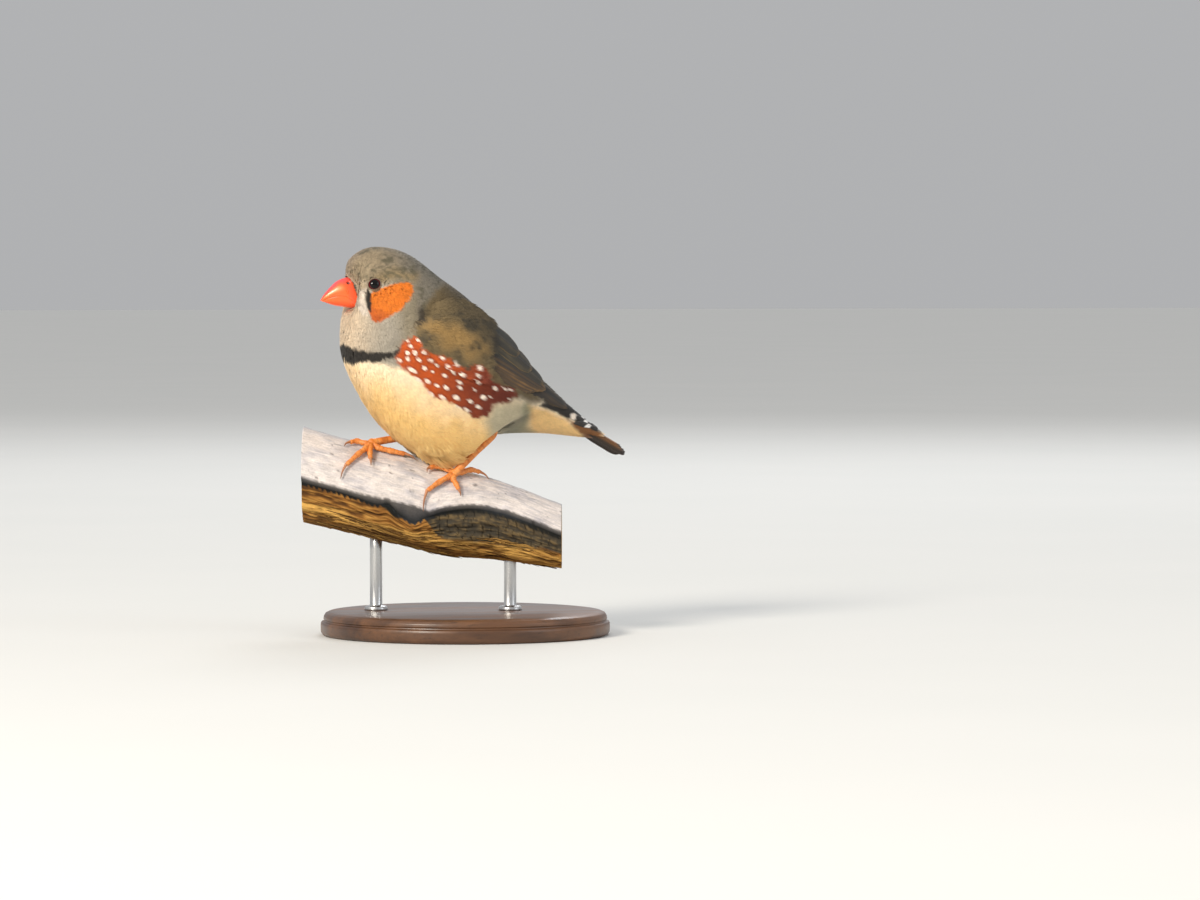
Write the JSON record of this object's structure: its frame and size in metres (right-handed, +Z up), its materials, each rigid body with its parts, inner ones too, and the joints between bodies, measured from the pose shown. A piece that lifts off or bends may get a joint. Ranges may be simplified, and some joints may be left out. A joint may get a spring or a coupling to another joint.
{
  "type": "zebra finch, life-size still model on a perch stand",
  "caption": "Life-size still model of a male zebra finch gripping a short cut length of dead palm stalk, held over a plain round base by metal rods.",
  "frame": {"origin": "centre of the underside of the round stand base, on the surface that the part stands on", "axes": "+Z up; -X is the way the bird faces, and its left side is -Y; the stalk runs 15 degrees off the X axis"},
  "size_m": [0.0966, 0.084, 0.1126],
  "materials": {
    "plumage": "soft body feathers, grey on head and neck, black breast band, cream to golden belly, chestnut flanks with white spots",
    "wing_feathers": "brown wing feathers with buff edges, darker at the tips",
    "tail_feathers": "dark brown tail feathers",
    "bill": "smooth red-orange horn",
    "eye": "wet dark red-brown eye with a black pupil",
    "leg_skin": "orange scaled leg skin",
    "claw": "brownish grey horn",
    "stalk": "weathered grey-white upper face over a brown fibrous underside",
    "stand_wood": "dark satin wood",
    "stand_metal": "brushed steel"
  },
  "bodies": {
    "root": {"head": "plumage", "neck": "plumage", "torso": "plumage", "rump": "plumage", "bill_upper": "bill", "bill_lower": "bill", "eye_left": "eye", "eye_right": "eye", "wing_left": "wing_feathers", "wing_right": "wing_feathers", "tail": "tail_feathers", "tarsus_left": "leg_skin", "foot_left": "leg_skin", "tarsus_right": "leg_skin", "foot_right": "leg_skin", "perch": "stalk", "stand_base": "stand_wood", "stand_rod_front": "stand_metal", "stand_rod_back": "stand_metal", "claw_left_inner": "claw", "claw_left_middle": "claw", "claw_left_outer": "claw", "claw_left_hind": "claw", "claw_right_inner": "claw", "claw_right_middle": "claw", "claw_right_outer": "claw", "claw_right_hind": "claw"}
  },
  "joints": []
}
